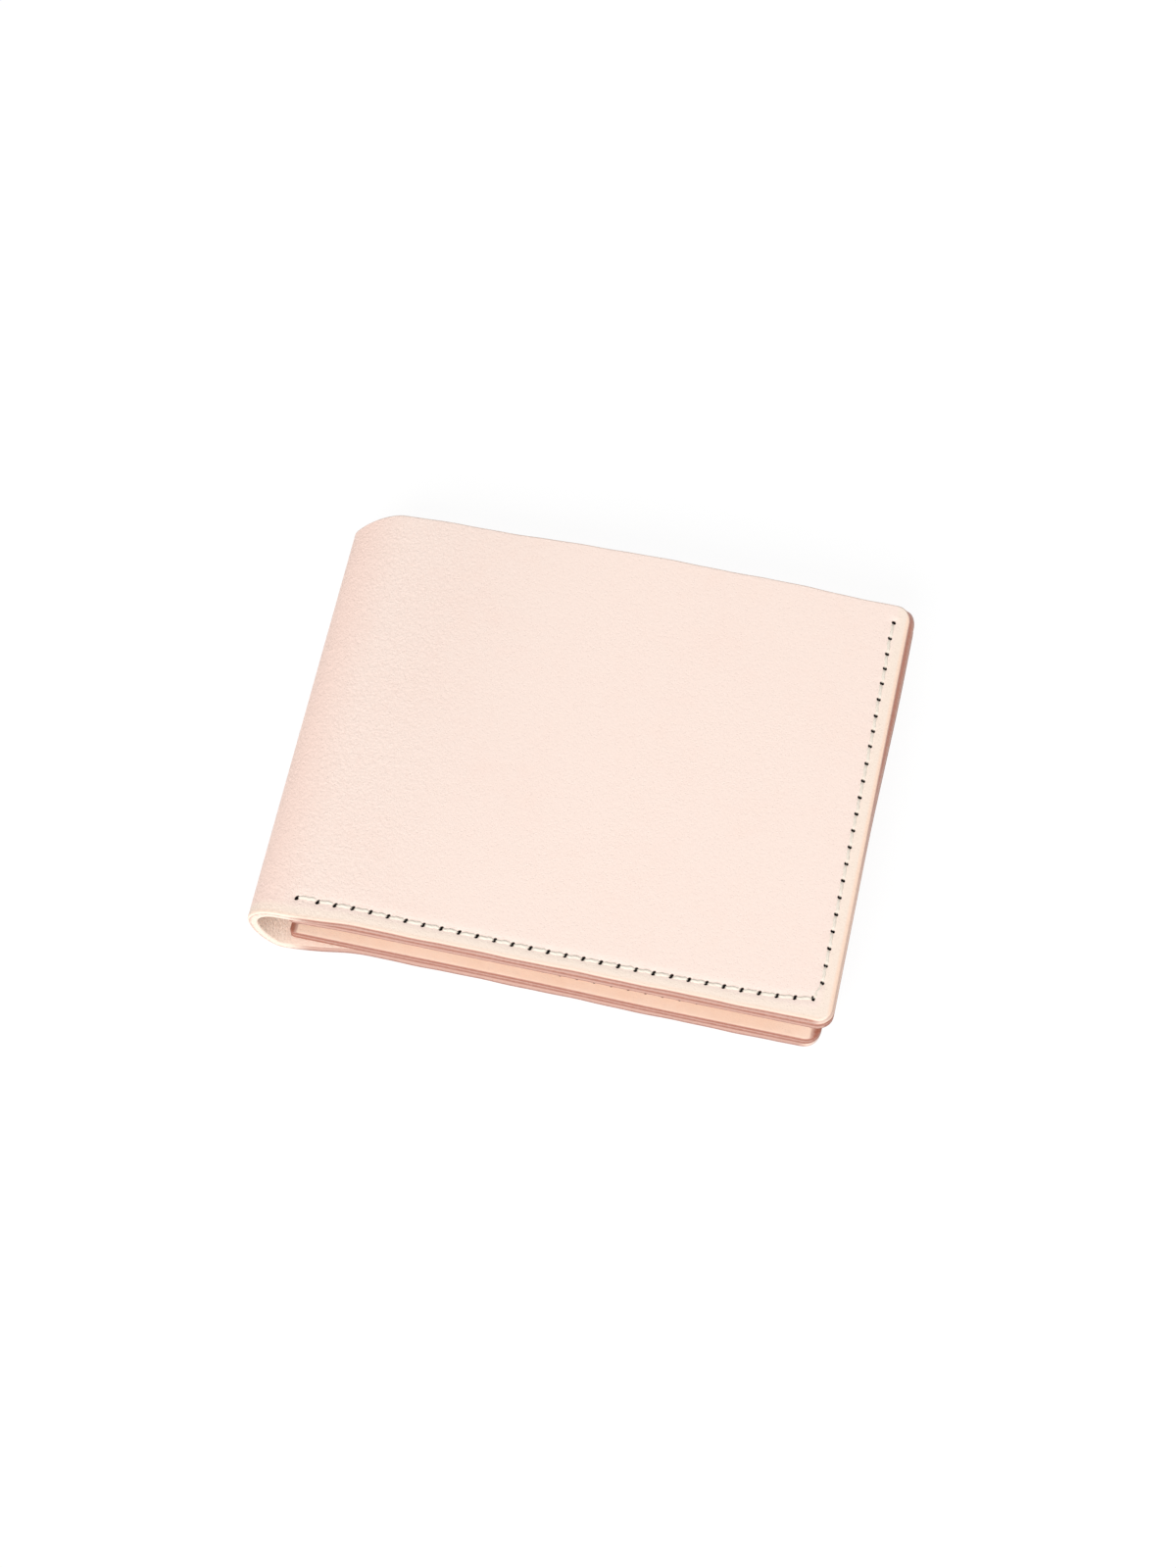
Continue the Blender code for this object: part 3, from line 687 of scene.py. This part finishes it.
strip_cells = np.linspace(-STRIP, STRIP, BEND_CELLS + 1)[1:-1]
strip_lines = [-STRIP, -STRIP + SEAM_STEP, *strip_cells, STRIP - SEAM_STEP, STRIP]
sheet = cut_sheet(strip_lines, cover_rows, COVER_LEATHER, COVER_EDGE, COVER_RUBBED_AND_SHADED, joined=[-STRIP, STRIP])
spots, faces, burnish_and_shade_mark = sheet
s, h, d = spots.T
points = np.where((s < 0)[:, None], back.fold(-s, h, d), front.fold(s, h, d))
marks = {"cut": spots, "burnish": burnish_and_shade_mark * mouth_wear(h), "awl": np.zeros(len(s))}
fold_strip = new_piece("fold_leather", points, faces, marks, hide)
bend_z = FOLD_RADIUS + np.array([-BEND_REACH, BEND_REACH - STRIP_SUNK * front.sink[1]])
start, end = back.place(np.full(2, COVER_LEATHER / 2), np.full(2, HEIGHT / 2), bend_z)
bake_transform(fold_strip)
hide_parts("cover_fold_lower", "cover_fold_upper")

# The dividers are thin panels of the same hide, grain side towards the cards. Each lies on its cover
# leaf and is sewn to it at the near and the free edge, so that notes go in behind it from the mouth.
PANEL_START = 7.8
DIVIDER_TOP = 86.5
DIVIDER_DEPTH = COVER_LEATHER
DIVIDER_LEATHER = 1.2
DIVIDER_CELL = 2.2
PANEL_EDGE = 0.32
PANEL_CORNER = 3.0
FOLD_CORNER = 0.8
LINES_AT_EDGE = np.array([0, 0.8, 1.6, 2.4, 3.2])
FOLD_SIDE_START = 8.6
FOLD_SIDE_HOLES = 21
FOLD_SIDE_PITCH = 3.4
# The rubbing of the panels is darkest at their two sides, over the given distances from each side.
DIVIDER_RUBBED = (0.6, 0.8, 0.95, 0.95, 0.95, 0.8, 0.6)
DIVIDER_UNRUBBED = 0.4
DIVIDER_UNRUBBED_STARTS = (6, 12)
SIDES_RUBBED = 0.95
FREE_SIDE_RUBBED = (2.2, 0.9)
FOLD_SIDE_RUBBED = (0.6, 1.5)
FLESH_SKIN = 0.05
PATCH_STEP = 37.0
PATCHES = 11

INNER_PALE = (0.955, 0.755, 0.625, 1)
INNER_TAN = (0.925, 0.69, 0.55, 1)
INNER_BUMP = 0.1 * MM

lining = Finish(bpy.data.materials.new("inner_hide"), **LEATHER_GLOSS)
spot = lining.mark("cut", "Vector")
clouds = lining.noise(spot, scale=0.06, detail=4.0, rough=0.55)
blotches = lining.noise(spot, scale=0.4, detail=5.0, rough=0.6)
pores = lining.pores(spot, scale=2.9)
grain = lining.noise(spot, scale=4.8, detail=4.0, rough=0.62)
flesh = lining.mark("flesh")
burnish = lining.mark("burnish")
tone = lining.tint(lining.ramp(clouds * 0.6 + blotches * 0.4, 0.36, 0.66), INNER_PALE, INNER_TAN)
tone = lining.tint(lining.ramp(pores, 0.34, 0.02) * 0.12, tone, BLUSH_HIDE)
tone = lining.tint(flesh, tone, FLESH_SIDE)
# The panels' cut edges take the same dark, partly painted shade, in their darkest rings.
edge_tone = lining.tint(lining.ramp(lining.streaked(spot, burnish), 0.5, 1.0), PINK_EDGE, BURNISHED_AND_SHADE)
tone = lining.tint(lining.ramp(burnish, 0.0, 0.5), tone, edge_tone)
# The walls of the awl holes are painted near-black: painted shade.
tone = lining.tint(lining.mark("awl"), tone, HOLE_SHADE_PAINT)
surface = grain * 0.4 + lining.ramp(pores, 0.0, 0.4) * 0.35
roughness = 0.58 - burnish * 0.2 + flesh * 0.28 + (blotches - 0.5) * 0.16
lining.finish(tone, roughness, surface, INNER_BUMP)


def fold_side_holes():
    """The holes beside the fold, through the inner panels only."""
    h = FOLD_SIDE_START + FOLD_SIDE_PITCH * np.arange(FOLD_SIDE_HOLES)
    return np.stack([np.full(FOLD_SIDE_HOLES, NEAR_START), h], axis=1)


def lines(start, end, step):
    """Grid lines from start to end, close together beside both cut edges."""
    close = LINES_AT_EDGE[-1]
    count = max(int(round((end - start - 2 * close) / step)), 1)
    between = np.linspace(start + close, end - close, count + 1)[1:-1]
    return [*(start + LINES_AT_EDGE), *between, *(end - LINES_AT_EDGE[::-1])]


def add_panel(leaf, node, sheet, depth_at, thickness, holes):
    """Punches an inner sheet, lays it at its depth in the leaf, and fixes it to the leaf's body.

    The panels are cut from different patches of the hide, so that their grain doesn't repeat.
    """
    inside = (holes[:, 1] < sheet[0][:, 1].max()) & (holes[:, 1] > sheet[0][:, 1].min())
    holes = holes[inside]
    spots, faces, burnish_and_shade_mark = punch(sheet, holes, thickness)
    u, h, d = spots.T
    patch = PATCH_STEP * (len(bpy.data.objects) % PATCHES)
    free_side = ease(u, leaf.width - FREE_SIDE_RUBBED[0], leaf.width - FREE_SIDE_RUBBED[1])
    fold_side = 1 - ease(u, PANEL_START + FOLD_SIDE_RUBBED[0], PANEL_START + FOLD_SIDE_RUBBED[1])
    marks = {
        "cut": np.stack([u + patch, h - patch, d], axis=1),
        "burnish": np.maximum(burnish_and_shade_mark, SIDES_RUBBED * np.maximum(free_side, fold_side)),
        "awl": awl_walls(spots, holes, thickness),
        "flesh": (d < FLESH_SKIN).astype(float),
    }
    piece = new_piece(f"{node}_leather", leaf.lay(u, h, depth_at(u, h) + d), faces, marks, lining)
    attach(piece, leaf.body)
    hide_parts(node)


def divider_depth(u, h):
    """A divider lies flat on its cover leaf."""
    return np.full(len(u), DIVIDER_DEPTH)


for leaf in leaves:
    us = lines(PANEL_START, leaf.width, DIVIDER_CELL)
    hs = lines(0, DIVIDER_TOP, DIVIDER_CELL)
    corners = [(PANEL_START, 0, -1, -1, FOLD_CORNER), (PANEL_START, DIVIDER_TOP, -1, 1, FOLD_CORNER)]
    corners += [(leaf.width, 0, 1, -1, PANEL_CORNER), (leaf.width, DIVIDER_TOP, 1, 1, PANEL_CORNER)]
    points, faces, burnish_and_shade_mark = cut_sheet(us, hs, DIVIDER_LEATHER, PANEL_EDGE, DIVIDER_RUBBED, corners)
    unrubbed = DIVIDER_UNRUBBED * ease(points[:, 1], *DIVIDER_UNRUBBED_STARTS)
    sheet = points, faces, burnish_and_shade_mark * (1 - unrubbed)
    holes = np.concatenate([leaf.edge_holes(), fold_side_holes()])
    add_panel(leaf, f"{leaf.name}_divider", sheet, divider_depth, DIVIDER_LEATHER, holes)

# Two T-shaped pockets in each leaf, skived thin. The wings of each T are caught in the side seams and
# the foot of its body is sewn to the divider, so that only the bands along their tops show.
LAYER_PLAY = 0.1
FIRST_LAYER = DIVIDER_DEPTH + DIVIDER_LEATHER
T_LEATHER = 0.7
SECOND_LAYER = FIRST_LAYER + T_LEATHER + LAYER_PLAY
UPPER_T_TOP = 79.0
LOWER_T_TOP = 67.0
POCKET_TOP = 55.0
T_LENGTH = 50.0
MARGIN = 5.0
SLOPE = 4.0
WING_GAP = 0.3
WING_CELL = 2
BODY_CELL = 2.4
SHANK_CELL = 2.6
BAND_CELL = 1.6
T_EDGE = 0.25
T_RUBBED = (0.5, 0.55, 0.6, 0.6, 0.6, 0.5, 0.35)
HOLE_OVER_BAND_FOOT = 1.2
HOLE_UNDER_TOP = 1.0
FOOT_INSET = 2.2
FOOT_END_GAP = 4.4
FOOT_HOLES = 15


def rise(leaf, u):
    """0 on the sewn margins at both sides of a pocket, 1 where it lies over the pockets behind it."""
    inner, outer = MARGIN, MARGIN + SLOPE
    off_free_side = 1 - ease(u, leaf.width - outer, leaf.width - inner)
    return ease(u, PANEL_START + inner, PANEL_START + outer) * off_free_side


def foot_holes(leaf, t_top):
    """The holes along the foot of a T-shaped pocket."""
    first = PANEL_START + MARGIN + SLOPE + FOOT_END_GAP
    u = np.linspace(first, leaf.width - MARGIN - SLOPE - FOOT_END_GAP, FOOT_HOLES)
    return np.stack([u, np.full(FOOT_HOLES, t_top - T_LENGTH + FOOT_INSET)], axis=1)


for leaf in leaves:
    body_start, body_end = PANEL_START + MARGIN + SLOPE, leaf.width - MARGIN - SLOPE
    us = lines(PANEL_START, body_start, WING_CELL)[:-1]
    us += lines(body_start, body_end, BODY_CELL)
    us += lines(body_end, leaf.width, WING_CELL)[1:]
    for which, top, band_foot, layer in (
        ("upper", UPPER_T_TOP, LOWER_T_TOP, FIRST_LAYER),
        ("lower", LOWER_T_TOP, POCKET_TOP, SECOND_LAYER),
    ):
        wing_foot = band_foot + WING_GAP
        hs = lines(top - T_LENGTH, wing_foot, SHANK_CELL)[:-1] + lines(wing_foot, top, BAND_CELL)

        def in_t(u, h):
            return h > wing_foot or body_start < u < body_end

        def depth_at(u, h):
            return FIRST_LAYER + (layer - FIRST_LAYER) * rise(leaf, u)

        sheet = cut_sheet(us, hs, T_LEATHER, T_EDGE, T_RUBBED, keep=in_t)
        holes = np.concatenate([leaf.edge_holes()[NEAR_HOLES:], fold_side_holes()])
        on_wing = (holes[:, 1] > band_foot + HOLE_OVER_BAND_FOOT) & (holes[:, 1] < top - HOLE_UNDER_TOP)
        holes = np.concatenate([holes[on_wing], foot_holes(leaf, top)])
        add_panel(leaf, f"{leaf.name}_{which}_t_pocket", sheet, depth_at, T_LEATHER, holes)

# The front card pocket of each leaf closes the stack. It is sewn down along the near edge and both
# sides, and swells over the pockets behind it between those margins.
POCKET_LEATHER = 1.2
POCKET_CELL = 1.6
POCKET_RUBBED = (0.5, 0.55, 0.6, 0.8, 1.0, 1.0, 0.75)
POCKET_LIFT = SECOND_LAYER + T_LEATHER + LAYER_PLAY - FIRST_LAYER

for leaf in leaves:
    us = lines(PANEL_START, leaf.width, POCKET_CELL)
    hs = lines(0, POCKET_TOP, POCKET_CELL)
    corners = [(PANEL_START, 0, -1, -1, FOLD_CORNER), (leaf.width, 0, 1, -1, PANEL_CORNER)]
    sheet = cut_sheet(us, hs, POCKET_LEATHER, PANEL_EDGE, POCKET_RUBBED, corners)

    def depth_at(u, h):
        return FIRST_LAYER + POCKET_LIFT * rise(leaf, u) * ease(h, MARGIN, MARGIN + SLOPE)

    holes = np.concatenate([leaf.edge_holes(), fold_side_holes()])
    holes = holes[holes[:, 1] < POCKET_TOP - HOLE_UNDER_TOP]
    add_panel(leaf, f"{leaf.name}_card_pocket", sheet, depth_at, POCKET_LEATHER, holes)

# The seams are saddle-stitched by hand with waxed cream linen thread: two strands pass each other in
# every hole, so that both faces show a full row. The stitches lie slanted and pressed in.
STRAND = 0.39
STRAND_SIDES = 8
STRAND_FLAT = 0.8
STRAND_SHARP = 70
RING_STEP = 0.17
SMOOTHINGS = 2
TOO_STEEP = 0.2
TWIST = 1.5
PLY_SWELL = 0.13
PULLED_THIN = 0.11
PULLED_THIN_RUN = (0.2, 0.8)
# Down a hole, over DARK_RUN of its dive, a strand is painted near-black: painted shade.
DARK_RUN = (0.1, 0.3)
# At the distances DIVE_AT from a hole a strand is down it by the shares DIVE of its deepest place.
DIVE_AT = np.array([0.22, 0.3, 0.42, 0.62, 0.95])
DIVE = np.array([1.0, 0.55, 0.22, 0.03, 0.0])
STITCH_SWELL = 0.03
STITCH_SLANT = 0.3
DEEPEST = 1.0
DEEPEST_SHARE = 0.45
PASSING_GAP = 0.12
PASSING_RUN = (0.1, 0.8)
STRAND_SHIFT = np.array([0, 11.0, 3.0])
# How far under the face of the leather the middle of a strand lies.
LIE = 0.14
DIVIDER_LIE = 0.36
FOOT_LIE = 0.3
LINEN_GLOSS = {"Specular_IOR_Level": 0.3, "Sheen_Weight": 0.15, "Sheen_Roughness": 0.4}
CREAM = (0.86, 0.785, 0.685, 1)
CREAM_SHADE = (0.78, 0.695, 0.595, 1)
LINEN_BUMP = 0.06 * MM

linen = Finish(bpy.data.materials.new("waxed_linen"), **LINEN_GLOSS)
spot = linen.mark("cut", "Vector")
fibre = linen.noise(linen.stretch(spot, (1.0, 0.5, 1.0)), scale=6.0, detail=4.0, rough=0.6)
wear = linen.noise(spot, scale=0.35, detail=3.0, rough=0.5)
tone = linen.tint(linen.ramp(wear * 0.5 + fibre * 0.5, 0.4, 0.75), CREAM, CREAM_SHADE)
# Down the holes the strands are painted near-black: painted shade.
tone = linen.tint(linen.mark("awl"), tone, HOLE_SHADE_PAINT)
linen.finish(tone, 0.62 + (fibre - 0.5) * 0.2, fibre, LINEN_BUMP)


def strand_path(holes, outer, inner, first_outside, side):
    """The way of one strand through a row of holes: u, h, depth, and how far it is down a hole.

    outer and inner are the depths at which it lies on the two faces, at each hole.
    """
    thick = inner - outer
    path = []
    for k in range(len(holes) - 1):
        begin, end = holes[k], holes[k + 1]
        length = np.linalg.norm(end - begin)
        along = (end - begin) / length
        across = np.array([-along[1], along[0]])
        outside = (k % 2 == 0) == first_outside
        on_face = outer if outside else inner
        deepest = min(DEEPEST, DEEPEST_SHARE * min(thick[k], thick[k + 1]))
        run = np.concatenate([DIVE_AT, [length / 2], length - DIVE_AT[::-1]])
        dive = np.concatenate([DIVE, [-STITCH_SWELL], DIVE[::-1]])
        slant = (run / length - 0.5) * STITCH_SLANT
        for at, down, off in zip(run, dive, slant):
            near_end = ease(down, *PASSING_RUN)
            place = begin + along * at + across * (off + side * PASSING_GAP * near_end)
            face = on_face[k] + (on_face[k + 1] - on_face[k]) * at / length
            path.append((*place, face + (down if outside else -down) * deepest, max(down, 0)))
    return np.array(path)


def strand_mesh(leaf, path):
    """A twisted two-ply strand round a path, as points in metres, faces and marks."""
    reach = np.concatenate([[0], np.cumsum(np.linalg.norm(np.diff(path[:, :3], axis=0), axis=1))])
    count = int(reach[-1] / RING_STEP)
    at = np.linspace(0, reach[-1], count)
    smooth = np.stack([np.interp(at, reach, path[:, k]) for k in range(4)], axis=1)
    for _ in range(SMOOTHINGS):
        smooth[1:-1] = (smooth[:-2] + 2 * smooth[1:-1] + smooth[2:]) / 4
    down = smooth[:, 3]
    centre = leaf.lay(*smooth[:, :3].T) / MM
    along = np.gradient(centre, axis=0)
    along /= np.linalg.norm(along, axis=1)[:, None]
    up = np.array([0.0, 0.0, 1.0])
    side = np.cross(up, along)
    side[np.linalg.norm(side, axis=1) < TOO_STEEP] = np.nan
    for axis in range(3):
        good = ~np.isnan(side[:, axis])
        side[:, axis] = np.interp(at, at[good], side[good, axis])
    side -= along * (side * along).sum(axis=1)[:, None]
    side /= np.linalg.norm(side, axis=1)[:, None]
    over = np.cross(along, side)
    angles = np.linspace(0, 2 * math.pi, STRAND_SIDES, endpoint=False)
    plies = 1 + PLY_SWELL * np.cos(2 * (angles[None] - (at / TWIST * math.pi)[:, None]))
    thick = (STRAND - PULLED_THIN * ease(down, *PULLED_THIN_RUN))[:, None] * plies
    rings = centre[:, None] + side[:, None] * (thick * np.cos(angles))[..., None]
    rings = rings + over[:, None] * (thick * np.sin(angles) * STRAND_FLAT)[..., None]
    shape = (count, STRAND_SIDES)
    index = np.arange(count * STRAND_SIDES).reshape(shape)
    tube = np.stack([index[:-1], np.roll(index[:-1], -1, 1), np.roll(index[1:], -1, 1), index[1:]], axis=-1)
    faces = tube.reshape(-1, 4).tolist() + [index[0][::-1].tolist(), index[-1].tolist()]
    spread = np.broadcast_to(angles * STRAND, shape)
    cut = np.stack([spread, np.broadcast_to(at[:, None], shape), np.zeros(shape)], axis=-1)
    # How far down a hole each ring is, for its painted shade.
    deep = np.repeat(ease(down, *DARK_RUN), STRAND_SIDES)
    return rings.reshape(-1, 3) * MM, faces, cut.reshape(-1, 3), deep


def sew(leaf, name, holes, outer, inner):
    """Both strands of a seam as one piece, which stands for the seam's thread."""
    outer = np.broadcast_to(outer, len(holes))
    inner = np.broadcast_to(inner, len(holes))
    points, faces, cut, deep = [], [], [], []
    total = 0
    for first_outside, side in ((True, 1), (False, -1)):
        path = strand_path(holes, outer, inner, first_outside, side)
        ring_points, ring_faces, ring_cut, ring_deep = strand_mesh(leaf, path)
        points.append(ring_points)
        faces += [[total + number for number in face] for face in ring_faces]
        cut.append(ring_cut + STRAND_SHIFT * len(cut))
        deep.append(ring_deep)
        total += len(ring_points)
    marks = {"cut": np.concatenate(cut), "awl": np.concatenate(deep)}
    piece_name = f"{leaf.name}_{name}_stitches"
    piece = new_piece(piece_name, np.concatenate(points), faces, marks, linen, STRAND_SHARP)
    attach(piece, leaf.body)
    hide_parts(f"{leaf.name}_{name}_thread")


def stack_face(h):
    """The depth of the innermost leather at the sewn edges, at heights h."""
    face = np.where(h < POCKET_TOP, FIRST_LAYER + POCKET_LEATHER, FIRST_LAYER + T_LEATHER)
    return np.where(h > UPPER_T_TOP, FIRST_LAYER, face)


for leaf in leaves:
    holes = leaf.edge_holes()
    sew(leaf, "edge", holes, GROOVE_DEPTH + LIE, stack_face(holes[:, 1]) - LIE)
    holes = fold_side_holes()
    sew(leaf, "fold_side", holes, DIVIDER_DEPTH + DIVIDER_LIE, stack_face(holes[:, 1]) - LIE)
    for which, top, layer in (("upper", UPPER_T_TOP, FIRST_LAYER), ("lower", LOWER_T_TOP, SECOND_LAYER)):
        holes = foot_holes(leaf, top)
        sew(leaf, f"{which}_t_foot", holes, DIVIDER_DEPTH + DIVIDER_LIE, layer + T_LEATHER - FOOT_LIE)

# A plain pale floor under soft studio light: one wide softbox high in front, a weaker one high on the
# right, and a white room. To the camera the floor is white but for the shadow.
FLOOR_REACH = 1.6
FLOOR_DROP = 0.0002
WHITE = (1, 1, 1, 1)
FLOOR_PALE = (0.86, 0.855, 0.85, 1)
FLOOR_SHADOW = (0.12, 0.12, 0.12, 1)
FLOOR_GLOW = 0.905
ROOM_LIGHT = 0.49

floor_corners = [(x * FLOOR_REACH, y * FLOOR_REACH, 0) for x, y in ((-1, -1), (1, -1), (1, 1), (-1, 1))]
floor_mesh = new_mesh("studio_floor", floor_corners, [(0, 1, 2, 3)])
floor = bpy.data.objects.new("studio_floor", floor_mesh)
floor.location.z = -FLOOR_DROP
bpy.context.scene.collection.objects.link(floor)


def to_eye(finish):
    """1 for a ray that shows what it meets to the camera, straight, by reflection or through glass."""
    seen = finish.node("ShaderNodeLightPath", {}, {}, "Is Camera Ray")
    for ray in ("Is Glossy Ray", "Is Transmission Ray"):
        other = finish.node("ShaderNodeLightPath", {}, {}, ray)
        seen = finish.node("ShaderNodeMath", {"operation": "MAXIMUM"}, {0: seen, 1: other})
    return seen


paper = Finish(bpy.data.materials.new("pale_floor"))
plain = paper.node("ShaderNodeBsdfDiffuse", {}, {"Color": FLOOR_PALE})
shadow_catch = paper.node("ShaderNodeBsdfDiffuse", {}, {"Color": FLOOR_SHADOW})
glow = paper.node("ShaderNodeEmission", {}, {"Color": WHITE, "Strength": FLOOR_GLOW})
white = paper.node("ShaderNodeAddShader", {}, {0: shadow_catch, 1: glow})
mixed = paper.node("ShaderNodeMixShader", {}, {0: to_eye(paper), 1: plain, 2: white})
paper.feed(paper.tree.nodes["Material Output"].inputs["Surface"], mixed)
floor_mesh.materials.append(paper.owner)


def softbox(name, place, size, watts):
    """A round lamp at a place, turned towards the wallet."""
    lamp = bpy.data.lights.new(name, "AREA")
    lamp.shape = "DISK"
    lamp.size = size
    lamp.energy = watts
    box = bpy.data.objects.new(name, lamp)
    box.location = place
    box.rotation_euler = Vector(place).to_track_quat("Z", "Y").to_euler()
    bpy.context.scene.collection.objects.link(box)


softbox("right_softbox", place=(0.85, 0.2, 0.95), size=0.9, watts=2.6)
softbox("front_softbox", place=(-0.45, -2.2, 1.4), size=2.1, watts=64.5)
world = bpy.data.worlds.new("white_room")
room = Finish(world)
light = room.node("ShaderNodeBackground", {}, {"Color": WHITE, "Strength": ROOM_LIGHT})
wall = room.node("ShaderNodeBackground", {}, {"Color": WHITE, "Strength": 1.0})
mixed = room.node("ShaderNodeMixShader", {}, {0: to_eye(room), 1: light, 2: wall})
room.feed(room.tree.nodes["World Output"].inputs["Surface"], mixed)
bpy.context.scene.world = world
bpy.context.scene.view_settings.view_transform = "Standard"
